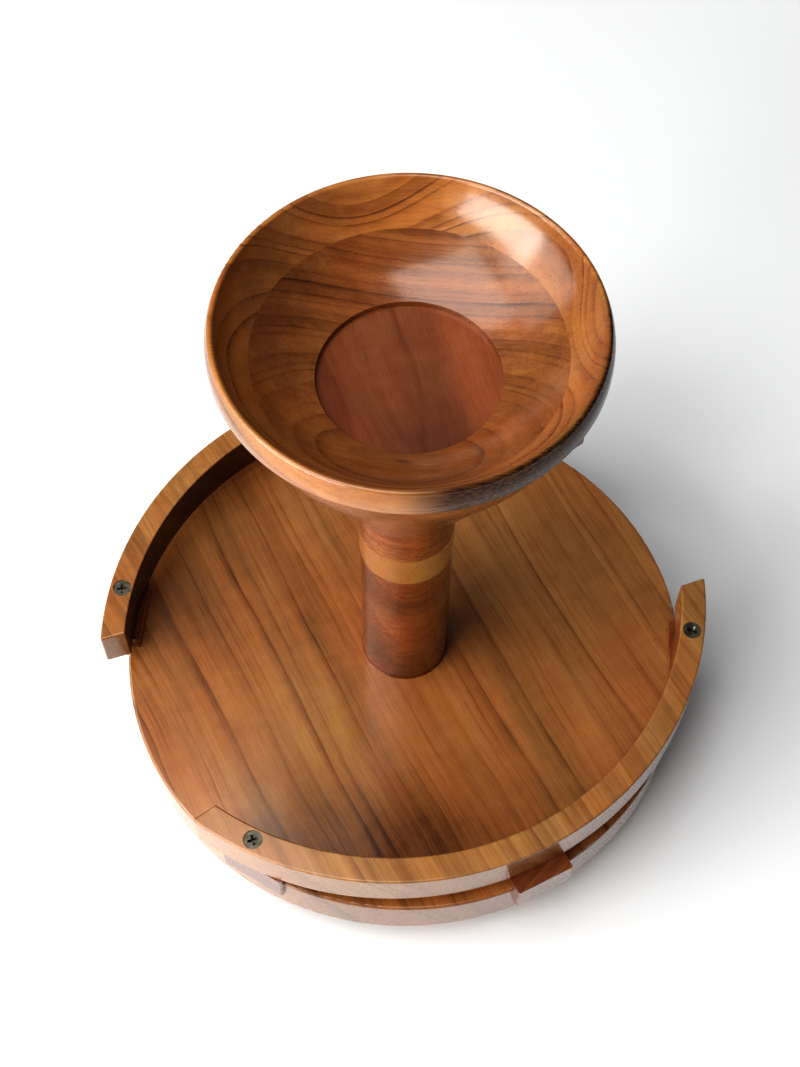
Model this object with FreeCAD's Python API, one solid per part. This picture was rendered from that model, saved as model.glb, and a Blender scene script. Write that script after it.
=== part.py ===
import FreeCAD, Part
import math
import os

# Revolving poker chip carousel: a round deck with two raised gallery rails turns on a
# hidden ball bearing, and a laminated stem in its centre carries a turned bowl.
# Origin: centre of the felt pad's underside, on the table. +Z up, -Y towards the front.

V = FreeCAD.Vector

# ---- driving dimensions, millimetres ---------------------------------------
DECK_RADIUS = 127.0
DECK_THICKNESS = 24.0
DECK_EDGE_ROUND = 1.2

PAD_RADIUS = 84.0
PAD_THICKNESS = 1.5
FOOT_RADIUS = 89.0
FOOT_THICKNESS = 9.0
BEARING_HEIGHT = 7.5

RAIL_OUTER_RADIUS = 141.2
RAIL_WIDTH = 11.0
RAIL_HEIGHT = 20.5
RAIL_EDGE_ROUND = 0.9
FRONT_RAIL_HALF_ANGLE = 69.3
BACK_RAIL_HALF_ANGLE = 67.6
FRONT_RAIL_MIDDLE_ANGLE = -61.2
FRONT_RAIL_ARC_CENTRE = V(-6.0, 16.0, 0)
BACK_RAIL_MIDDLE_ANGLE = 119.2
BACK_RAIL_ARC_CENTRE = V(6.4, -9.6, 0)
RAIL_END_SKEW = 13.0

SPACER_ABOVE_DECK = 7.5
SPACER_LET_IN = 9.5
SPACER_WIDTH = 11.5
END_SPACER_LENGTH = 30.0
MIDDLE_SPACER_LENGTH = 26.0
SPACER_ROUND = 1.0
END_SPACER_INSET_ANGLE = 11.0

SCREW_HEAD_RADIUS = 4.15
SCREW_SHANK_RADIUS = 2.0
SCREW_CORE_RADIUS = 1.55
SCREW_LENGTH = 32.0
SCREW_SINK = 0.5
SCREW_CLEARANCE = 0.1

STEM_RADIUS = 19.3
STEM_TOP_RADIUS = 20.4
STEM_FOOT_FLARE = 0.5
STEM_TENON_RADIUS = 12.5
STEM_TENON_LENGTH = 12.0
STEM_POST_TOP = 88.0
LIGHT_BAND_TOP = 106.0
STEM_CAP_TOP = 125.0

BOWL_COLLAR_SPLIT = 144.0
BOWL_COLLAR_TOP = 163.0
BOWL_LOWER_TOP = 182.0
BOWL_RECESS_FLOOR = 201.5
BOWL_FLOOR_TOP = 218.2
BOWL_RIM_TOP = 233.7
BOWL_RECESS_RADIUS = 33.3

LAG_RADIUS = 3.0
LAG_LENGTH = 62.0
LAG_HEAD_RADIUS = 5.6
LAG_HEAD_HEIGHT = 4.2
WASHER_RADIUS = 9.0
WASHER_THICKNESS = 1.5
COUNTERBORE_RADIUS = 9.5
COUNTERBORE_DEPTH = 6.5

PLATE_SIZE = 76.0
PLATE_THICKNESS = 1.0
PLATE_CORNER_ROUND = 6.0
PLATE_HOLE_RADIUS = 20.0
PLATE_SCREW_REACH = 31.5
PLATE_SCREW_RADIUS = 1.6
PLATE_SCREW_HEAD_RADIUS = 3.4
PLATE_SCREW_HEAD_HEIGHT = 1.7
PLATE_SCREW_LENGTH = 8.0
ACCESS_HOLE_RADIUS = 6.5
BALL_RADIUS = 1.5
BALL_CIRCLE_RADIUS = 28.5
BALL_COUNT = 20
BALL_CLEARANCE = 0.15
CAGE_THICKNESS = 0.8

# ---- derived levels ---------------------------------------------------------
FOOT_TOP = PAD_THICKNESS + FOOT_THICKNESS
DECK_BOTTOM = FOOT_TOP + BEARING_HEIGHT
DECK_TOP = DECK_BOTTOM + DECK_THICKNESS
RAIL_BOTTOM = DECK_TOP + SPACER_ABOVE_DECK
RAIL_TOP = RAIL_BOTTOM + RAIL_HEIGHT
SPACER_BOTTOM = DECK_TOP - SPACER_LET_IN
SPACER_HEIGHT = SPACER_LET_IN + SPACER_ABOVE_DECK


# ---- small helpers ------------------------------------------------------------
def save(name, shape):
    """Write one sub-part to its own STEP file."""
    shape.exportStep("parts/" + name + ".step")
    print(name, "solids", len(shape.Solids), "valid", shape.isValid(), "volume", round(shape.Volume))


def disc(radius, bottom, height, centre=(0.0, 0.0)):
    """Upright cylinder standing on the level bottom."""
    return Part.makeCylinder(radius, height, V(centre[0], centre[1], bottom))


def polar(radius, angle, level=0.0):
    """Point at a radius and an angle in degrees about the turning axis."""
    turn = math.radians(angle)
    return V(radius * math.cos(turn), radius * math.sin(turn), level)


def spin(edges):
    """Solid of revolution about Z of a closed outline in the XZ plane."""
    return Part.Face(Part.Wire(edges)).revolve(V(0, 0, 0), V(0, 0, 1), 360)


def at(radius, level):
    """Point of an outline in the XZ plane."""
    return V(radius, 0, level)


def path(points):
    """Straight edges through a list of outline points."""
    return [Part.LineSegment(a, b).toShape() for a, b in zip(points, points[1:])]


def curve(points):
    """One smooth edge through a list of outline points."""
    spline = Part.BSplineCurve()
    spline.interpolate(points)
    return spline.toShape()


def horizontal_rim(shape, level):
    """Edges that lie wholly on one level."""
    return [e for e in shape.Edges if abs(e.BoundBox.ZMin - level) < 1e-4 and abs(e.BoundBox.ZMax - level) < 1e-4]


def upright(shape):
    """Straight vertical edges."""
    return [e for e in shape.Edges if e.BoundBox.ZLength > 1 and e.BoundBox.XLength + e.BoundBox.YLength < 1e-4]


# ---- foot and felt pad --------------------------------------------------------
def plate_corners():
    """Centres of the four screw holes of a bearing plate."""
    reach = PLATE_SCREW_REACH
    return [(x, y) for x in (-reach, reach) for y in (-reach, reach)]


def turned_corners():
    """Upper plate holes: the upper plate is turned 45 degrees from the lower one."""
    reach = PLATE_SCREW_REACH * math.sqrt(2)
    return [(reach, 0), (0, reach), (-reach, 0), (0, -reach)]


def make_foot_pad():
    pad = disc(PAD_RADIUS, 0, PAD_THICKNESS)
    return pad.cut(disc(ACCESS_HOLE_RADIUS + 1, -1, PAD_THICKNESS + 2, turned_corners()[0]))


def make_foot_board():
    board = disc(FOOT_RADIUS, PAD_THICKNESS, FOOT_THICKNESS)
    board = board.makeFillet(2.0, horizontal_rim(board, FOOT_TOP))
    board = board.cut(disc(ACCESS_HOLE_RADIUS, 0, FOOT_TOP + 1, turned_corners()[0]))
    depth = PLATE_SCREW_LENGTH
    for corner in plate_corners():
        board = board.cut(disc(PLATE_SCREW_RADIUS, FOOT_TOP - depth, depth + 1, corner))
    return board


# ---- ball bearing ---------------------------------------------------------------
def square_plate(bottom, corners, turned):
    """Pressed steel plate with a centre hole, round corners and four screw holes."""
    half = PLATE_SIZE / 2
    plate = Part.makeBox(PLATE_SIZE, PLATE_SIZE, PLATE_THICKNESS, V(-half, -half, bottom))
    plate = plate.makeFillet(PLATE_CORNER_ROUND, [e for e in plate.Edges if e.BoundBox.ZLength > PLATE_THICKNESS / 2])
    if turned:
        plate.rotate(V(0, 0, 0), V(0, 0, 1), 45)
    plate = plate.cut(disc(PLATE_HOLE_RADIUS, bottom - 1, PLATE_THICKNESS + 2))
    for corner in corners:
        plate = plate.cut(disc(PLATE_SCREW_RADIUS + 0.2, bottom - 1, PLATE_THICKNESS + 2, corner))
    return plate


BALL_LEVEL = FOOT_TOP + PLATE_THICKNESS - 0.4 + BALL_CLEARANCE + BALL_RADIUS
RACE_TUBE_RADIUS = BALL_RADIUS + BALL_CLEARANCE
FLANGE_BOTTOM = BALL_LEVEL + BALL_RADIUS - 0.4
FLANGE_TOP = FLANGE_BOTTOM + 1.0


def race_groove():
    """Ring of the section that the balls roll in, cut from both races."""
    return Part.makeTorus(BALL_CIRCLE_RADIUS, RACE_TUBE_RADIUS, V(0, 0, BALL_LEVEL))


def make_lower_plate():
    plate = square_plate(FOOT_TOP, plate_corners(), False)
    floor = FOOT_TOP + PLATE_THICKNESS
    lip_bottom = FLANGE_TOP + BALL_CLEARANCE
    outline = [at(34.2, floor), at(35.2, floor), at(35.2, lip_bottom + 0.9), at(31.6, lip_bottom + 0.9),
               at(31.6, lip_bottom), at(34.2, lip_bottom), at(34.2, floor)]
    return plate.fuse(spin(path(outline))).cut(race_groove()).removeSplitter()


def make_upper_plate():
    top = DECK_BOTTOM - PLATE_THICKNESS
    plate = square_plate(top, turned_corners(), True)
    outline = [at(24.0, top), at(24.0, FLANGE_BOTTOM), at(33.4, FLANGE_BOTTOM), at(33.4, FLANGE_TOP),
               at(25.2, FLANGE_TOP), at(25.2, top), at(24.0, top)]
    return plate.fuse(spin(path(outline))).cut(race_groove()).removeSplitter()


def ball_centres():
    return [polar(BALL_CIRCLE_RADIUS, index * 360.0 / BALL_COUNT, BALL_LEVEL) for index in range(BALL_COUNT)]


def make_balls():
    return Part.Compound([Part.makeSphere(BALL_RADIUS, centre) for centre in ball_centres()])


def make_cage():
    bottom = BALL_LEVEL - CAGE_THICKNESS / 2
    cage = disc(31.2, bottom, CAGE_THICKNESS).cut(disc(26.0, bottom - 1, CAGE_THICKNESS + 2))
    for centre in ball_centres():
        cage = cage.cut(disc(BALL_RADIUS + 0.05, bottom - 1, CAGE_THICKNESS + 2, (centre.x, centre.y)))
    return cage


def plate_screw(corner, seat, direction):
    """Small pan head screw. Its head bears on the level seat and its shank points along direction."""
    head = Part.makeCylinder(PLATE_SCREW_HEAD_RADIUS, PLATE_SCREW_HEAD_HEIGHT)
    head = head.makeFillet(1.0, horizontal_rim(head, PLATE_SCREW_HEAD_HEIGHT))
    slot = Part.makeBox(4.2, 0.8, 1.0, V(-2.1, -0.4, PLATE_SCREW_HEAD_HEIGHT - 0.9))
    cross = slot.fuse(Part.makeBox(0.8, 4.2, 1.0, V(-0.4, -2.1, PLATE_SCREW_HEAD_HEIGHT - 0.9)))
    shank = Part.makeCylinder(PLATE_SCREW_RADIUS - 0.05, PLATE_SCREW_LENGTH - 2, V(0, 0, 2 - PLATE_SCREW_LENGTH))
    tip = Part.makeCone(0.3, PLATE_SCREW_RADIUS - 0.05, 1.4, V(0, 0, 0.6 - PLATE_SCREW_LENGTH))
    screw = head.cut(cross).fuse(shank).fuse(tip).removeSplitter()
    if direction > 0:
        screw.rotate(V(0, 0, 0), V(1, 0, 0), 180)
    screw.translate(V(corner[0], corner[1], seat))
    return screw


def make_lower_screws():
    seat = FOOT_TOP + PLATE_THICKNESS
    return Part.Compound([plate_screw(corner, seat, -1) for corner in plate_corners()])


def make_upper_screws():
    seat = DECK_BOTTOM - PLATE_THICKNESS
    return Part.Compound([plate_screw(corner, seat, 1) for corner in turned_corners()])


# ---- gallery rails, their spacers and screws ---------------------------------------
RAILS = {
    "front": (FRONT_RAIL_MIDDLE_ANGLE, FRONT_RAIL_ARC_CENTRE, FRONT_RAIL_HALF_ANGLE),
    "back": (BACK_RAIL_MIDDLE_ANGLE, BACK_RAIL_ARC_CENTRE, BACK_RAIL_HALF_ANGLE),
}
FRONT_END = FRONT_RAIL_HALF_ANGLE - END_SPACER_INSET_ANGLE
BACK_END = BACK_RAIL_HALF_ANGLE - END_SPACER_INSET_ANGLE
# For each rail: every spacer's place along it in degrees, its length, and how far it stands out from the axis.
SPACERS = {
    "front": {
        "left": (-FRONT_END, END_SPACER_LENGTH, 122.8),
        "middle": (-0.8, MIDDLE_SPACER_LENGTH, 125.3),
        "right": (FRONT_END, END_SPACER_LENGTH, 126.4),
    },
    "back": {
        "left": (BACK_END, END_SPACER_LENGTH, 126.4),
        "middle": (-0.8, MIDDLE_SPACER_LENGTH, 125.3),
        "right": (-BACK_END, END_SPACER_LENGTH, 127.6),
    },
}


def rail_radius(side, angle):
    """Distance from the turning axis to the rail's outer face in one direction."""
    centre = RAILS[side][1]
    along = centre.dot(polar(1.0, angle))
    return along + math.sqrt(RAIL_OUTER_RADIUS ** 2 - centre.Length ** 2 + along ** 2)


def screw_points(side):
    """Where the two rail screws stand, on the rail's middle line."""
    middle = RAILS[side][0]
    offset = RAILS[side][2] - END_SPACER_INSET_ANGLE
    points = []
    for angle in (middle - offset, middle + offset):
        points.append(polar(rail_radius(side, angle) - RAIL_WIDTH / 2 - 0.3, angle))
    return points


def rail_sector(side, middle):
    """Upright prism that keeps one rail's length of a full ring. Its two ends are sawn a little off square."""
    outline = [V(0, 0, RAIL_BOTTOM - 1)]
    for turn in (-1, 1):
        angle = middle + turn * RAILS[side][2]
        end = polar(rail_radius(side, angle) - RAIL_WIDTH / 2, angle, RAIL_BOTTOM - 1)
        along = polar(40.0, angle + turn * RAIL_END_SKEW)
        ends = [end - along, end + along]
        outline += ends if turn < 0 else ends[::-1]
        if turn < 0:
            outline += [polar(400.0, middle - 40, RAIL_BOTTOM - 1), polar(400.0, middle + 40, RAIL_BOTTOM - 1)]
    return Part.Face(Part.makePolygon(outline + outline[:1])).extrude(V(0, 0, RAIL_HEIGHT + 2))


def make_rail(side):
    middle, centre, half_angle = RAILS[side]
    spot = (centre.x, centre.y)
    ring = disc(RAIL_OUTER_RADIUS, RAIL_BOTTOM, RAIL_HEIGHT, spot)
    ring = ring.cut(disc(RAIL_OUTER_RADIUS - RAIL_WIDTH, RAIL_BOTTOM - 1, RAIL_HEIGHT + 2, spot))
    rail = ring.common(rail_sector(side, middle))
    rail = rail.makeFillet(RAIL_EDGE_ROUND, rail.Edges)
    for point in screw_points(side):
        rail = rail.cut(screw_hole(point))
    return rail


def spacer_block(side, place, length, radius):
    """Straight block let into the deck's edge, square to its own direction."""
    corner = V(radius - SPACER_WIDTH / 2, -length / 2, SPACER_BOTTOM)
    block = Part.makeBox(SPACER_WIDTH, length, SPACER_HEIGHT, corner)
    block.rotate(V(0, 0, 0), V(0, 0, 1), RAILS[side][0] + place)
    return block


def make_spacer(side, which):
    place, length, radius = SPACERS[side][which]
    block = spacer_block(side, place, length, radius)
    block = block.makeFillet(SPACER_ROUND, upright(block))
    if which != "middle":
        for point in screw_points(side):
            block = block.cut(screw_hole(point))
    return block


def cone_head(sink, extra):
    """Countersunk head below the level 0: a short rim, then a cone down to the shank."""
    radius = SCREW_HEAD_RADIUS + extra
    shank = SCREW_SHANK_RADIUS + extra
    depth = SCREW_HEAD_RADIUS - SCREW_SHANK_RADIUS
    rim = Part.makeCylinder(radius, 0.4 + sink, V(0, 0, -0.4))
    return rim.fuse(Part.makeCone(shank, radius, depth, V(0, 0, -0.4 - depth)))


def screw_hole(point):
    """Countersunk clearance hole in the rail that narrows to a pilot hole in the spacer."""
    hole = cone_head(SCREW_SINK + 1, 0.0)
    clearance = RAIL_HEIGHT - SCREW_SINK
    hole = hole.fuse(Part.makeCylinder(SCREW_SHANK_RADIUS + SCREW_CLEARANCE, clearance, V(0, 0, -clearance)))
    pilot = SCREW_LENGTH + 0.4
    hole = hole.fuse(Part.makeCylinder(SCREW_CORE_RADIUS + SCREW_CLEARANCE, pilot, V(0, 0, -pilot)))
    hole.translate(V(point.x, point.y, RAIL_TOP - SCREW_SINK))
    return hole


def cross_recess():
    """Tapered cross-shaped driver socket in the top of a screw head."""
    bars = Part.makeBox(4.8, 1.1, 2.2, V(-2.4, -0.55, -2.0))
    bars = bars.fuse(Part.makeBox(1.1, 4.8, 2.2, V(-0.55, -2.4, -2.0)))
    return bars.common(Part.makeCone(0.7, 2.6, 2.2, V(0, 0, -2.0)))


def rail_screw(point, turn):
    """Flat head wood screw with a cross recess, a plain shank, a ridged thread and a point."""
    body = cone_head(0.0, 0.0)
    plain = RAIL_HEIGHT - SCREW_SINK
    body = body.fuse(Part.makeCylinder(SCREW_SHANK_RADIUS, plain, V(0, 0, -plain)))
    pitch = 1.3
    level = -plain
    while level > 2.5 - SCREW_LENGTH:
        body = body.fuse(Part.makeCone(SCREW_CORE_RADIUS - 0.35, SCREW_CORE_RADIUS, pitch, V(0, 0, level - pitch)))
        level -= pitch
    body = body.fuse(Part.makeCone(0.2, SCREW_CORE_RADIUS - 0.35, level + SCREW_LENGTH, V(0, 0, -SCREW_LENGTH)))
    body = body.cut(cross_recess()).removeSplitter()
    body.rotate(V(0, 0, 0), V(0, 0, 1), turn)
    body.translate(V(point.x, point.y, RAIL_TOP - SCREW_SINK))
    return body


def make_rail_screws(side, turns):
    return Part.Compound([rail_screw(point, turn) for point, turn in zip(screw_points(side), turns)])


# ---- deck ----------------------------------------------------------------------------
def make_deck():
    deck = disc(DECK_RADIUS, DECK_BOTTOM, DECK_THICKNESS)
    deck = deck.makeFillet(DECK_EDGE_ROUND, horizontal_rim(deck, DECK_TOP) + horizontal_rim(deck, DECK_BOTTOM))
    deck = deck.cut(disc(STEM_TENON_RADIUS + 0.05, DECK_TOP - STEM_TENON_LENGTH, STEM_TENON_LENGTH + 1))
    deck = deck.cut(disc(COUNTERBORE_RADIUS, DECK_BOTTOM - 1, COUNTERBORE_DEPTH + 1))
    deck = deck.cut(disc(LAG_RADIUS + 0.3, DECK_BOTTOM, DECK_THICKNESS))
    for corner in turned_corners():
        deck = deck.cut(disc(PLATE_SCREW_RADIUS, DECK_BOTTOM - 1, PLATE_SCREW_LENGTH + 1, corner))
    for side in RAILS:
        for place, length, radius in SPACERS[side].values():
            deck = deck.cut(spacer_block(side, place, length, radius))
    return deck


# ---- stem -----------------------------------------------------------------------------
def stem_blank():
    """Whole turned stem above the deck: a small foot flare, a straight post and a slight spread at the top."""
    foot = DECK_TOP
    top = DECK_TOP + STEM_CAP_TOP
    side = curve([at(STEM_RADIUS, foot + 3), at(STEM_RADIUS, foot + 40), at(STEM_RADIUS + 0.1, foot + 85),
                  at(STEM_RADIUS + 0.5, foot + 110), at(STEM_TOP_RADIUS, top)])
    flare = Part.Arc(at(STEM_RADIUS + STEM_FOOT_FLARE, foot), at(STEM_RADIUS + 0.14, foot + 1.0),
                     at(STEM_RADIUS, foot + 3)).toShape()
    edges = path([at(0, top), at(0, foot), at(STEM_RADIUS + STEM_FOOT_FLARE, foot)])
    return spin(edges + [flare, side] + path([at(STEM_TOP_RADIUS, top), at(0, top)]))


def slice_of(blank, low, high):
    """The layer of a turned blank between two heights above the deck."""
    return blank.common(disc(DECK_RADIUS, DECK_TOP + low, high - low))


def make_stem_post():
    post = slice_of(stem_blank(), 0, STEM_POST_TOP)
    tenon = disc(STEM_TENON_RADIUS, DECK_TOP - STEM_TENON_LENGTH, STEM_TENON_LENGTH + 1)
    pilot = disc(LAG_RADIUS + 0.05, DECK_TOP - STEM_TENON_LENGTH - 1, LAG_LENGTH - DECK_THICKNESS + STEM_TENON_LENGTH + 8)
    return post.fuse(tenon).removeSplitter().cut(pilot)


def make_washer():
    bottom = DECK_BOTTOM + COUNTERBORE_DEPTH - WASHER_THICKNESS
    washer = disc(WASHER_RADIUS, bottom, WASHER_THICKNESS)
    return washer.cut(disc(LAG_RADIUS + 0.3, bottom - 1, WASHER_THICKNESS + 2))


def make_lag_screw():
    seat = DECK_BOTTOM + COUNTERBORE_DEPTH - WASHER_THICKNESS
    outline = [V(LAG_HEAD_RADIUS * math.cos(k * math.pi / 3), LAG_HEAD_RADIUS * math.sin(k * math.pi / 3),
                 seat - LAG_HEAD_HEIGHT) for k in range(7)]
    head = Part.Face(Part.makePolygon(outline)).extrude(V(0, 0, LAG_HEAD_HEIGHT))
    shank = disc(LAG_RADIUS, seat, LAG_LENGTH - 6)
    tip = Part.makeCone(LAG_RADIUS, 0.4, 6, V(0, 0, seat + LAG_LENGTH - 6))
    return head.fuse(shank).fuse(tip).removeSplitter()


# ---- bowl -----------------------------------------------------------------------------
def bowl_blank():
    """Whole turned bowl with its funnel-shaped underside, before it is divided into its glued layers."""
    base = DECK_TOP
    under = curve([at(r, base + z) for r, z in
                   ((STEM_TOP_RADIUS, STEM_CAP_TOP), (22.6, 131.5), (29.5, 145.0), (42.0, 168.0),
                    (54.5, 191.5), (63.4, 209.5), (67.2, 221.5))])
    lip = path([at(67.2, base + 221.5), at(69.3, base + 223.1), at(69.9, base + 224.3), at(69.9, base + 227.4)])
    slope = curve([at(69.9, base + 227.4), at(69.6, base + 229.8), at(68.7, base + 232.4)])
    crown = Part.Arc(at(68.7, base + 232.4), at(67.5, base + BOWL_RIM_TOP), at(66.2, base + 232.7)).toShape()
    inside = curve([at(r, base + z) for r, z in
                    ((66.2, 232.7), (62.8, 226.5), (55.6, BOWL_FLOOR_TOP), (45.2, 209.6), (BOWL_RECESS_RADIUS, 204.0))])
    recess = path([at(BOWL_RECESS_RADIUS, base + 204.0), at(BOWL_RECESS_RADIUS, base + BOWL_RECESS_FLOOR),
                   at(0, base + BOWL_RECESS_FLOOR), at(0, base + STEM_CAP_TOP), at(STEM_TOP_RADIUS, base + STEM_CAP_TOP)])
    return spin([under] + lip + [slope, crown, inside] + recess)


# Glued layers of the bowl, from the stem upwards, with the height of each one's top above the deck.
BOWL_LAYERS = (
    ("bowl_collar_lower", BOWL_COLLAR_SPLIT),
    ("bowl_collar_upper", BOWL_COLLAR_TOP),
    ("bowl_lower_layer", BOWL_LOWER_TOP),
    ("bowl_recess_layer", BOWL_RECESS_FLOOR),
    ("bowl_floor_ring", BOWL_FLOOR_TOP),
    ("bowl_rim_ring", BOWL_RIM_TOP + 1),
)


def main():
    os.makedirs("parts", exist_ok=True)
    save("foot_pad", make_foot_pad())
    save("foot_board", make_foot_board())
    save("bearing_lower_plate", make_lower_plate())
    save("bearing_upper_plate", make_upper_plate())
    save("bearing_cage", make_cage())
    save("bearing_balls", make_balls())
    save("bearing_lower_screws", make_lower_screws())
    save("bearing_upper_screws", make_upper_screws())
    save("deck", make_deck())
    for side in RAILS:
        save("rail_" + side, make_rail(side))
        for which in SPACERS[side]:
            save("spacer_" + side + "_" + which, make_spacer(side, which))
    save("rail_front_screws", make_rail_screws("front", (20, 62)))
    save("rail_back_screws", make_rail_screws("back", (75, 8)))
    save("stem_post", make_stem_post())
    save("stem_light_band", slice_of(stem_blank(), STEM_POST_TOP, LIGHT_BAND_TOP))
    save("stem_cap", slice_of(stem_blank(), LIGHT_BAND_TOP, STEM_CAP_TOP))
    save("stem_lag_screw", make_lag_screw())
    save("stem_washer", make_washer())
    blank = bowl_blank()
    low = STEM_CAP_TOP
    for name, high in BOWL_LAYERS:
        save(name, slice_of(blank, low, high))
        low = high


main()
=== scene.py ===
import math
import bpy
from mathutils import Matrix, Vector


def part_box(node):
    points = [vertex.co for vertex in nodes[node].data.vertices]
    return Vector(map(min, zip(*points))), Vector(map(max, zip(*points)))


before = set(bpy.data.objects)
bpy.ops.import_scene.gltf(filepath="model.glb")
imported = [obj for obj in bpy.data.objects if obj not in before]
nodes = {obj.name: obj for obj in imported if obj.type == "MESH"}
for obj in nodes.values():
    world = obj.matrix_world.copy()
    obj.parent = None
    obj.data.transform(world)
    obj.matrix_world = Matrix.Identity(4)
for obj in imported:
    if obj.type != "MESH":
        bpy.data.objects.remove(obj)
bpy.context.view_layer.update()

MM = 1000.0
DECK_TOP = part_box("deck")[1].z


def srgb(r, g, b):
    """Linear colour, with alpha, of an ordinary 0-255 screen colour."""
    out = []
    for value in (r, g, b):
        value = value / 255.0
        out.append(value / 12.92 if value <= 0.04045 else ((value + 0.055) / 1.055) ** 2.4)
    return tuple(out) + (1.0,)


# ---- node helpers ---------------------------------------------------------------
MIX_COLOUR_A = 6
MIX_COLOUR_B = 7
MIX_COLOUR_RESULT = 2


class Tree:
    """A material's node tree with short calls for the nodes used here."""

    def __init__(self, name):
        self.material = bpy.data.materials.new(name)
        self.material.use_nodes = True
        self.nodes = self.material.node_tree.nodes
        self.links = self.material.node_tree.links
        self.nodes.clear()
        self.output = self.nodes.new("ShaderNodeOutputMaterial")
        self.shader = self.nodes.new("ShaderNodeBsdfPrincipled")
        self.links.new(self.shader.outputs[0], self.output.inputs[0])

    def put(self, socket, value):
        """Link the socket to the value if that is an output, or else set the socket to it."""
        if isinstance(value, bpy.types.NodeSocket):
            self.links.new(value, socket)
        else:
            socket.default_value = value

    def surface(self, **values):
        """Feed the shader's inputs: Base_Color stands for Base Color."""
        for key, value in values.items():
            self.put(self.shader.inputs[key.replace("_", " ")], value)

    def math(self, kind, a, b=None, clamp=False):
        node = self.nodes.new("ShaderNodeMath")
        node.operation = kind
        node.use_clamp = clamp
        self.put(node.inputs[0], a)
        if b is not None:
            self.put(node.inputs[1], b)
        return node.outputs[0]

    def vector(self, kind, a, b=None, scale=None):
        node = self.nodes.new("ShaderNodeVectorMath")
        node.operation = kind
        self.put(node.inputs[0], a)
        if b is not None:
            self.put(node.inputs[1], b)
        if scale is not None:
            self.put(node.inputs["Scale"], scale)
        return node.outputs["Value"] if kind in ("LENGTH", "DOT_PRODUCT") else node.outputs[0]

    def place(self, angle=0.0):
        """Coordinates of the piece in millimetres, turned so that X runs at the angle in degrees."""
        coords = self.nodes.new("ShaderNodeTexCoord").outputs["Object"]
        node = self.nodes.new("ShaderNodeMapping")
        node.vector_type = "POINT"
        self.put(node.inputs["Vector"], coords)
        node.inputs["Rotation"].default_value = (0, 0, math.radians(-angle))
        node.inputs["Scale"].default_value = (MM, MM, MM)
        return node.outputs[0]

    def noise(self, vector, scale=1.0, detail=2.0, rough=0.5, colour=False, dims="3D"):
        node = self.nodes.new("ShaderNodeTexNoise")
        node.noise_dimensions = dims
        self.put(node.inputs["W" if dims == "1D" else "Vector"], vector)
        node.inputs["Scale"].default_value = scale
        node.inputs["Detail"].default_value = detail
        node.inputs["Roughness"].default_value = rough
        return node.outputs["Color" if colour else "Fac"]

    def grain(self, vector, cycles, **options):
        """Noise drawn out along X, with its cycles per millimetre along and across that."""
        along, across = cycles
        return self.noise(self.vector("MULTIPLY", vector, (along, across, across)), **options)

    def sway(self, vector, cycles, detail, reach):
        """A smooth random offset, at most half of reach each way, in millimetres."""
        offset = self.grain(vector, cycles, detail=detail, colour=True)
        return self.vector("SCALE", self.vector("SUBTRACT", offset, (0.5, 0.5, 0.5)), scale=reach)

    def bell(self, point, centre, radius):
        """1 at the centre, falling off smoothly over the radius."""
        away = self.vector("LENGTH", self.vector("SUBTRACT", point, centre))
        away = self.math("DIVIDE", away, radius)
        return self.math("EXPONENT", self.math("MULTIPLY", self.math("MULTIPLY", away, away), -1.0))

    def ramp(self, value, stops):
        node = self.nodes.new("ShaderNodeValToRGB")
        self.put(node.inputs[0], value)
        elements = node.color_ramp.elements
        while len(elements) < len(stops):
            elements.new(0.5)
        for element, (spot, colour) in zip(elements, stops):
            element.position = spot
            element.color = colour if not isinstance(colour, (int, float)) else (colour,) * 3 + (1,)
        return node.outputs["Color"]

    def mix(self, factor, a, b, kind="MIX"):
        node = self.nodes.new("ShaderNodeMix")
        node.data_type = "RGBA"
        node.blend_type = kind
        self.put(node.inputs["Factor"], factor)
        self.put(node.inputs[MIX_COLOUR_A], a)
        self.put(node.inputs[MIX_COLOUR_B], b)
        return node.outputs[MIX_COLOUR_RESULT]

    def range(self, value, low, high, to_low=0.0, to_high=1.0):
        node = self.nodes.new("ShaderNodeMapRange")
        self.put(node.inputs["Value"], value)
        for key, number in (("From Min", low), ("From Max", high), ("To Min", to_low), ("To Max", to_high)):
            node.inputs[key].default_value = number
        return node.outputs[0]

    def bump(self, height, distance, strength):
        node = self.nodes.new("ShaderNodeBump")
        node.inputs["Strength"].default_value = strength
        node.inputs["Distance"].default_value = distance
        self.put(node.inputs["Height"], height)
        return node.outputs[0]


# ---- wood -----------------------------------------------------------------------
# Patterns, as cycles per millimetre along the grain and across it.
DRIFT = (0.0045, 0.013)
RIPPLE = (0.018, 0.06)
LINE_FADE = (0.02, 0.09)
FIBRES = (0.04, 1.5)
THREADS = (0.012, 0.36)
BLOTCHES = (0.012, 0.024)
MOTTLES = (0.16, 0.1)
PORES = (0.2, 3.3)
WARMTH = (0.009, 0.035)
# Patterns that change from ring to ring, as cycles per ring.
RING_WIDTHS = 0.31
RING_LINES = 0.73
RING_TONES = 0.43
# How dark the wood is from one growth ring's start to its end: pale early wood, then the dark late line.
RING_PROFILE = [(0.0, 0.12), (0.06, 0.0), (0.55, 0.1), (0.84, 0.55), (0.94, 1.0), (1.0, 0.12)]
RING_UNEVENNESS = 2.6
RIPPLE_SHARE = 0.16
MOTTLE = 0.09
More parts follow.
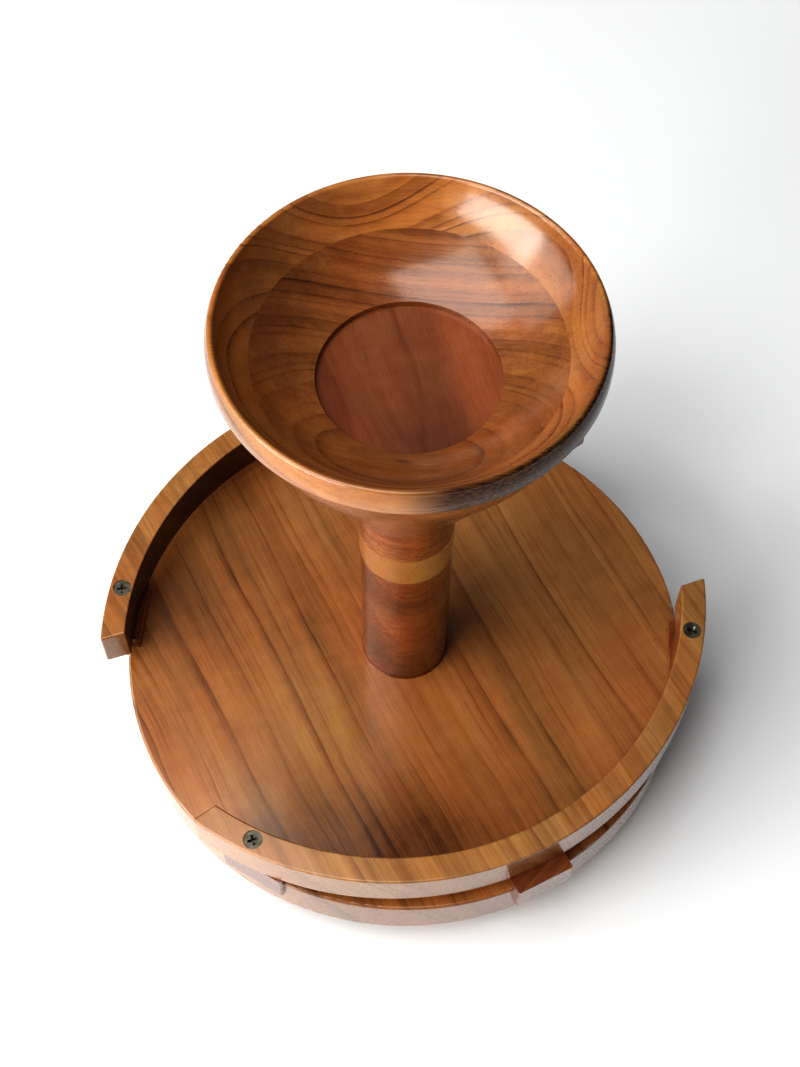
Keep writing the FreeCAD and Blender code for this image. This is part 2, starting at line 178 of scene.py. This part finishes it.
# Levels of the palette's three colours, and the level of plain wood.
DARK_LEVEL = 0.1
MIDDLE_LEVEL = 0.55
LIGHT_LEVEL = 0.9
MEAN_LEVEL = 0.58
WARM_TINT = (1.05, 0.93, 0.8, 1)
COOL_TINT = (0.97, 1.04, 1.0, 1)
END_GRAIN = 0.5
# Colour and coat of the dark patches: painted shade, and on the bowl's rim partly darker heartwood as well.
HEARTWOOD_AND_SHADE_COLOUR = srgb(34, 12, 5)
HEARTWOOD_AND_SHADE_COAT = 0.2
WOOD_IOR = 1.35
WOOD_ROUGHNESS = (0.24, 0.4)
COAT = 1.0
COAT_ROUGHNESS = 0.15
COAT_IOR = 1.5
WOOD_RELIEF = 0.00006
COAT_RELIEF = 0.00004
LATHE_CYCLES = 1.3


def wood(name, palette, angle=0.0, pith=(0.0, -80.0), spacing=6.0, warp=8.0, line=0.32, band=0.2, fibre=0.16,
         blotch=0.16, pore=0.35, turned=0.0, bias=0.0, swirls=(), painted_shadows=(), heartwood_and_shade=None):
    """Varnished wood cut from a board, in a palette of a dark, a middle and a light colour.

    Lengths are in millimetres, and the grain runs level, at an angle in degrees from +X. Growth rings are
    cylinders about a pith line along the grain, which is pith[0] across it and pith[1] up. They are about
    spacing apart and are warped by warp.

    line, band, fibre, blotch and pore are the strengths of the late wood's lines, the rings' tones, the
    fibres, the broad blotches and the pores. turned is the strength of the fine lines that a lathe leaves,
    and bias lightens the whole piece.

    A swirl is a centre, a radius and the number of rings that it shifts the figure by. A painted shadow is a
    centre, a radius and a darkness, and darkens the wood there as painted shade. The dark patch given last is
    painted shade, and on the bowl's rim partly darker heartwood as well; it is a centre, the distances from
    an upright line through it at which it starts and is full, a direction, and the positions along that
    direction at which it starts and is full."""
    t = Tree(name)
    world = t.place()
    base = t.place(angle)
    drift = t.sway(base, DRIFT, detail=2, reach=warp)
    ripple = t.sway(base, RIPPLE, detail=3, reach=warp * RIPPLE_SHARE)
    bent = t.vector("ADD", t.vector("ADD", base, drift), ripple)

    # growth rings: how many lie between the pith and each point, and how dark each point of a ring is
    flat = t.vector("MULTIPLY", t.vector("SUBTRACT", bent, (0, pith[0], pith[1])), (0, 1, 1))
    count = t.math("DIVIDE", t.vector("LENGTH", flat), spacing)
    drifted = t.vector("ADD", world, drift)
    for centre, radius, rings in swirls:
        count = t.math("ADD", count, t.math("MULTIPLY", t.bell(drifted, centre, radius), rings))
    uneven = t.noise(count, scale=RING_WIDTHS, detail=1, dims="1D")
    count = t.math("ADD", count, t.math("MULTIPLY", uneven, RING_UNEVENNESS))
    late = t.ramp(t.math("FRACT", count), RING_PROFILE)
    strength = t.range(t.noise(count, scale=RING_LINES, detail=1, dims="1D"), 0.3, 0.68, 0.15, 1.1)
    fade = t.range(t.grain(bent, LINE_FADE, detail=2), 0.3, 0.7, 0.35, 1.15)
    late = t.math("MULTIPLY", t.math("MULTIPLY", late, strength), fade)
    tone = t.noise(count, scale=RING_TONES, detail=2, rough=0.55, dims="1D")

    # fibres, blotches and pores
    streak = t.grain(bent, FIBRES, detail=3, rough=0.62)
    thread = t.grain(bent, THREADS, detail=2)
    cloud = t.grain(base, BLOTCHES, detail=2)
    mottle = t.grain(bent, MOTTLES, detail=2)
    pores = t.range(t.grain(bent, PORES, detail=2, rough=0.7), 0.60, 0.74)

    # all of it added up to one level, and the palette's colour at that level
    total = t.math("MULTIPLY", late, -line)
    weights = ((tone, band), (streak, fibre), (cloud, blotch), (thread, fibre), (mottle, MOTTLE))
    for source, weight in weights:
        change = t.math("MULTIPLY", t.math("SUBTRACT", source, 0.5), weight * 2.0)
        total = t.math("ADD", total, change)
    # painted shadows: the wood is darkened around each given centre as painted shade
    for centre, radius, amount in painted_shadows:
        total = t.math("SUBTRACT", total, t.math("MULTIPLY", t.bell(drifted, centre, radius), amount))
    level = t.math("ADD", total, MEAN_LEVEL + bias, clamp=True)
    dark, middle, light = palette
    colour = t.ramp(level, [(DARK_LEVEL, dark), (MIDDLE_LEVEL, middle), (LIGHT_LEVEL, light)])
    warmth = t.range(t.grain(bent, WARMTH, detail=3), 0.36, 0.64)
    colour = t.mix(1.0, colour, t.ramp(warmth, [(0.0, WARM_TINT), (1.0, COOL_TINT)]), kind="MULTIPLY")
    colour = t.mix(t.math("MULTIPLY", pores, pore), colour, dark)

    # end grain soaks up more varnish and is darker
    way = (math.cos(math.radians(angle)), math.sin(math.radians(angle)), 0.0)
    normal = t.nodes.new("ShaderNodeTexCoord").outputs["Normal"]
    across = t.math("ABSOLUTE", t.vector("DOT_PRODUCT", normal, way))
    colour = t.mix(t.range(across, 0.45, 0.95, 0.0, END_GRAIN), colour, dark)

    relief = t.math("SUBTRACT", t.math("MULTIPLY", streak, 0.4), pores)
    relief = t.math("SUBTRACT", relief, t.math("MULTIPLY", late, 0.3))
    if turned:
        height = t.nodes.new("ShaderNodeSeparateXYZ")
        t.put(height.inputs[0], base)
        lines = t.range(t.noise(height.outputs["Z"], scale=LATHE_CYCLES, detail=3, dims="1D"), 0.42, 0.72)
        colour = t.mix(t.math("MULTIPLY", lines, turned), colour, dark)
        relief = t.math("SUBTRACT", relief, t.math("MULTIPLY", lines, 1.5))
    coat = COAT
    # dark patch: painted shade on the back rail's inner wall; on the bowl's rim, darker heartwood and painted
    # shade
    if heartwood_and_shade:
        centre, inner, outer, facing, low, high = heartwood_and_shade
        moved = t.vector("ADD", world, t.vector("SCALE", drift, scale=3.0))
        moved = t.vector("ADD", moved, t.vector("SCALE", ripple, scale=5.0))
        flat = t.vector("MULTIPLY", t.vector("SUBTRACT", world, centre), (1, 1, 0))
        depth = t.range(t.vector("LENGTH", flat), inner, outer)
        side = t.range(t.vector("DOT_PRODUCT", moved, facing), low, high)
        cover = t.math("MULTIPLY", depth, side)
        cover = t.math("MULTIPLY", cover, t.range(streak, 0.35, 0.7, 1.0, 0.7))
        colour = t.mix(cover, colour, HEARTWOOD_AND_SHADE_COLOUR)
        coat = t.range(cover, 0.0, 1.0, COAT, HEARTWOOD_AND_SHADE_COAT)

    dullness = t.math("ADD", streak, t.math("MULTIPLY", pores, 0.4))
    t.surface(Base_Color=colour, IOR=WOOD_IOR, Roughness=t.range(dullness, 0.3, 1.0, *WOOD_ROUGHNESS),
              Normal=t.bump(relief, WOOD_RELIEF, 0.45), Coat_Normal=t.bump(relief, COAT_RELIEF, 0.3),
              Coat_Weight=coat, Coat_Roughness=COAT_ROUGHNESS, Coat_IOR=COAT_IOR)
    return t.material


def dress(node, material):
    """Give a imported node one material."""
    slots = nodes[node].data.materials
    slots.clear()
    slots.append(material)


def around(radius, angle, height):
    """A point in millimetres at a radius and angle about the stem, at a height above the deck."""
    turn = math.radians(angle)
    return (radius * math.cos(turn), radius * math.sin(turn), DECK_TOP * MM + height)


WALNUT = (srgb(80, 44, 22), srgb(156, 104, 60), srgb(184, 132, 82))
WALNUT_RAIL = (srgb(98, 60, 34), srgb(162, 114, 68), srgb(192, 144, 92))
DARK = (srgb(50, 20, 8), srgb(116, 64, 34), srgb(168, 108, 66))
STEM = (srgb(52, 19, 6), srgb(130, 70, 32), srgb(190, 118, 66))
REDDISH = (srgb(62, 30, 20), srgb(126, 72, 47), srgb(160, 102, 70))
FLOOR_RING = (srgb(70, 34, 16), srgb(142, 88, 47), srgb(180, 122, 72))
RIM = (srgb(84, 42, 18), srgb(168, 110, 60), srgb(200, 144, 88))
PALE = (srgb(130, 80, 40), srgb(178, 126, 70), srgb(204, 150, 90))

# Painted shadows: dark patches on the deck just inside the front rail and inside the back rail's left part,
# where the rails' shadows fall.
DECK_PAINTED_SHADOWS = [(around(104, -100, 0), 30, 0.26),
               (around(98, -82, 0), 26, 0.22),
               (around(96, 165, 0), 34, 0.16)]
# Painted shade: the back rail's inner wall, 130.2 mm from its arc's centre, is darkened all along, standing
# in for the shade on it.
BACK_RAIL_ARC_CENTRE = (6.4, -9.6, 0)
BACK_RAIL_PAINTED_SHADE = (BACK_RAIL_ARC_CENTRE, 131.0, 130.4, (0, 1, 0), -400, -300)
# The bowl's lip is dark on its outer side, over the right part of its round: partly darker heartwood, partly
# painted shade on the side turned away from the light.
RIM_HEARTWOOD_AND_SHADE = ((0, 0, 0), 65.5, 67.8, (0.8, -0.6, 0), 41, 54)
RIM_SWIRLS = [(around(66, 108, 233), 34, 5.0), (around(67, 3, 231), 26, 5.0)]

dress("deck", wood("walnut_deck", WALNUT, angle=-62, pith=(-330, -120), spacing=5.6, warp=16, line=0.3,
                   band=0.15, fibre=0.13, blotch=0.26, pore=0.45, bias=0.02, painted_shadows=DECK_PAINTED_SHADOWS))
dress("rail_front", wood("walnut_rail_front", WALNUT_RAIL, angle=-60, pith=(-260, -60), spacing=4.0, warp=12,
                         pore=0.5, line=0.25))
dress("rail_back", wood("walnut_rail_back", WALNUT_RAIL, angle=-56, pith=(-360, -60), spacing=4.0, warp=12,
                        pore=0.5, line=0.25, bias=-0.05, swirls=[(around(123, 148, 28), 9, 4.0)],
                        heartwood_and_shade=BACK_RAIL_PAINTED_SHADE))
spacers = [side + "_" + which for side in ("front", "back") for which in ("left", "middle", "right")]
for index, which in enumerate(spacers):
    dress("spacer_" + which, wood("walnut_spacer_%d" % index, DARK, angle=28 + 20 * index,
                                  pith=(-40, -30 - 4 * index), spacing=4.0, warp=4))
dress("stem_post", wood("walnut_stem_post", STEM, angle=12, pith=(34, 74), spacing=9.0, warp=34, pore=0.35,
                        blotch=0.5, line=0.3, band=0.4))
dress("stem_light_band", wood("pale_band", PALE, angle=60, pith=(-60, -40), spacing=4.0, warp=6, pore=0.12,
                              line=0.15))
dress("stem_cap", wood("walnut_stem_cap", STEM, angle=-15, pith=(0, 250), spacing=7.0, warp=12, bias=0.04,
                       line=0.2))
dress("bowl_collar_lower", wood("bowl_wood_a", STEM, angle=10, pith=(0, 100), spacing=5.0, warp=8, bias=0.04,
                                turned=0.35))
dress("bowl_collar_upper", wood("bowl_wood_b", STEM, angle=70, pith=(20, 90), spacing=5.0, warp=8, bias=0.04,
                                turned=0.35))
dress("bowl_lower_layer", wood("bowl_wood_c", STEM, angle=-30, pith=(-30, 120), spacing=5.0, warp=8,
                               turned=0.35))
dress("bowl_recess_layer", wood("bowl_wood_recess", REDDISH, angle=-74, pith=(-40, 150), spacing=7.0, warp=26,
                                line=0.16, fibre=0.09, blotch=0.55, band=0.16, pore=0.5))
dress("bowl_floor_ring", wood("bowl_wood_floor", FLOOR_RING, angle=-6, pith=(-60, 190), spacing=3.4, warp=10,
                              line=0.4))
dress("bowl_rim_ring", wood("bowl_wood_rim", RIM, angle=4, pith=(-20, 150), spacing=6.0, warp=9, pore=0.3,
                            line=0.5, band=0.24, fibre=0.12, blotch=0.24, swirls=RIM_SWIRLS, heartwood_and_shade=RIM_HEARTWOOD_AND_SHADE))


# ---- metal and felt -------------------------------------------------------------
METAL_RELIEF = 0.00003
METAL_WEAR = 0.35
METAL_SPOTS = 1.9
FELT_RELIEF = 0.0003
FELT_FUZZ = 2.2
FELT_TUFTS = 0.25
FELT_SHEEN = 0.4


def metal(name, dark, light, rough, pitting=0.4):
    """Steel with a fine wear pattern and a little tarnish."""
    t = Tree(name)
    base = t.place()
    wear = t.noise(base, scale=METAL_WEAR, detail=4)
    spots = t.noise(base, scale=METAL_SPOTS, detail=2)
    tarnish = t.math("ADD", t.math("MULTIPLY", wear, 0.7), t.math("MULTIPLY", spots, 0.3))
    t.surface(Base_Color=t.ramp(tarnish, [(0.3, dark), (0.7, light)]), Metallic=1.0,
              Roughness=t.range(spots, 0.3, 0.7, *rough), Normal=t.bump(spots, METAL_RELIEF, pitting))
    return t.material


def felt():
    """Dark green felt, fuzzy up close and slightly uneven from afar."""
    t = Tree("felt")
    base = t.place()
    fuzz = t.noise(base, scale=FELT_FUZZ, detail=4, rough=0.7)
    tufts = t.noise(base, scale=FELT_TUFTS, detail=2)
    level = t.math("ADD", t.math("MULTIPLY", fuzz, 0.6), t.math("MULTIPLY", tufts, 0.4))
    t.surface(Base_Color=t.ramp(level, [(0.3, srgb(18, 42, 30)), (0.7, srgb(40, 74, 54))]),
              Sheen_Weight=FELT_SHEEN, Roughness=t.range(fuzz, 0.3, 0.7, 0.85, 1.0),
              Normal=t.bump(fuzz, FELT_RELIEF, 0.8))
    return t.material


oxide = metal("oxidised_steel", srgb(64, 60, 52), srgb(146, 140, 124), (0.35, 0.6))
zinc = metal("zinc_plate", srgb(150, 150, 142), srgb(200, 200, 196), (0.25, 0.45))
for node in ("rail_front_screws", "rail_back_screws"):
    dress(node, oxide)
for node in ("bearing_lower_plate", "bearing_upper_plate", "bearing_lower_screws", "bearing_upper_screws",
             "stem_lag_screw", "stem_washer"):
    dress(node, zinc)
dress("bearing_cage", metal("plain_steel", srgb(120, 120, 118), srgb(170, 170, 168), (0.3, 0.5)))
dress("bearing_balls", metal("polished_steel", srgb(190, 190, 190), srgb(215, 215, 215), (0.08, 0.16),
                             pitting=0.05))
dress("foot_board", wood("walnut_foot", DARK, angle=35, pith=(-200, -60), spacing=6.0, warp=12))
dress("foot_pad", felt())


# ---- floor ----------------------------------------------------------------------
FLOOR_REACH = 3.4
FLOOR_SIDES = 180
FLOOR_ROUGHNESS = 0.55
FLOOR_CYCLES = 0.004
FLOOR_TONES = [(0.3, (0.84, 0.84, 0.838, 1)), (0.7, (0.87, 0.87, 0.87, 1))]

floor_mesh = bpy.data.meshes.new("floor")
turns = [k * math.tau / FLOOR_SIDES for k in range(FLOOR_SIDES)]
edge = [(FLOOR_REACH * math.cos(turn), FLOOR_REACH * math.sin(turn), 0) for turn in turns]
floor_mesh.from_pydata(edge, [], [range(FLOOR_SIDES)])
floor = bpy.data.objects.new("floor", floor_mesh)
bpy.context.scene.collection.objects.link(floor)
t = Tree("pale_floor")
cloud = t.noise(t.place(), scale=FLOOR_CYCLES, detail=2)
t.surface(Base_Color=t.ramp(cloud, FLOOR_TONES), Roughness=FLOOR_ROUGHNESS)
floor_mesh.materials.append(t.material)


# ---- light ----------------------------------------------------------------------
LIGHT_DISTANCE = 3.0
LIGHT_TARGET = Vector((0, 0, 0.1))
WARM_WHITE = (1.0, 0.99, 0.97)
COOL_WHITE = (0.97, 0.985, 1.0)
SKY_STRENGTH = 0.07
BACKDROP_GREY = 0.62


def soft_light(name, azimuth, elevation, size, energy, colour):
    """A broad rectangular light, at an azimuth from +X and an elevation in degrees, that faces the object."""
    turn = math.radians(azimuth)
    rise = math.radians(elevation)
    way = Vector((math.cos(turn) * math.cos(rise), math.sin(turn) * math.cos(rise), math.sin(rise)))
    spot = LIGHT_TARGET + way * LIGHT_DISTANCE
    light = bpy.data.lights.new(name, "AREA")
    light.shape = "RECTANGLE"
    light.size = size[0]
    light.size_y = size[1]
    light.energy = energy
    light.color = colour
    lamp = bpy.data.objects.new(name, light)
    bpy.context.scene.collection.objects.link(lamp)
    facing = (LIGHT_TARGET - spot).to_track_quat("-Z", "Y").to_matrix().to_4x4()
    lamp.matrix_world = Matrix.Translation(spot) @ facing


soft_light("window", 219, 22, (2.4, 1.5), 76.0, WARM_WHITE)
soft_light("side_window", 184, 26, (2.0, 2.0), 24.0, WARM_WHITE)
soft_light("ceiling", 200, 70, (2.5, 2.5), 61.0, COOL_WHITE)

world = bpy.data.worlds.new("studio")
bpy.context.scene.world = world
world.use_nodes = True
world_nodes = world.node_tree.nodes
world_links = world.node_tree.links
sky = world_nodes["Background"]
sky.inputs["Color"].default_value = COOL_WHITE + (1,)
sky.inputs["Strength"].default_value = SKY_STRENGTH
# behind the floor's edge stands a pale backdrop, which gives the object no light of its own
backdrop = world_nodes.new("ShaderNodeBackground")
backdrop.inputs["Color"].default_value = (BACKDROP_GREY, BACKDROP_GREY, BACKDROP_GREY, 1)
ray = world_nodes.new("ShaderNodeLightPath")
choose = world_nodes.new("ShaderNodeMixShader")
world_links.new(ray.outputs["Is Camera Ray"], choose.inputs[0])
world_links.new(sky.outputs[0], choose.inputs[1])
world_links.new(backdrop.outputs[0], choose.inputs[2])
world_links.new(choose.outputs[0], world_nodes["World Output"].inputs["Surface"])


# ---- camera ---------------------------------------------------------------------
PITCH = math.radians(59.03)
YAW = math.radians(-0.67)
ROLL = math.radians(0.514)
FOCAL_LENGTH_TO_HEIGHT = 1600.0 / 1067.0
SENSOR_HEIGHT = 36.0
CAMERA_PLACE = Vector((0.00126, -0.33782, DECK_TOP + 0.65862))

camera_data = bpy.data.cameras.new("camera")
camera_data.sensor_fit = "VERTICAL"
camera_data.sensor_height = SENSOR_HEIGHT
camera_data.lens = FOCAL_LENGTH_TO_HEIGHT * SENSOR_HEIGHT
camera_data.clip_start = 0.01
camera_data.clip_end = 50.0
camera = bpy.data.objects.new("camera", camera_data)
bpy.context.scene.collection.objects.link(camera)
bpy.context.scene.camera = camera

ahead = Vector((math.sin(YAW) * math.cos(PITCH), math.cos(YAW) * math.cos(PITCH), -math.sin(PITCH)))
level_right = ahead.cross(Vector((0, 0, 1))).normalized()
level_up = level_right.cross(ahead)
right = level_right * math.cos(ROLL) + level_up * math.sin(ROLL)
up = level_up * math.cos(ROLL) - level_right * math.sin(ROLL)
axes = Matrix((right, up, -ahead)).transposed().to_4x4()
camera.matrix_world = Matrix.Translation(CAMERA_PLACE) @ axes

bpy.context.scene.view_settings.view_transform = "Standard"
bpy.context.scene.view_settings.look = "High Contrast"
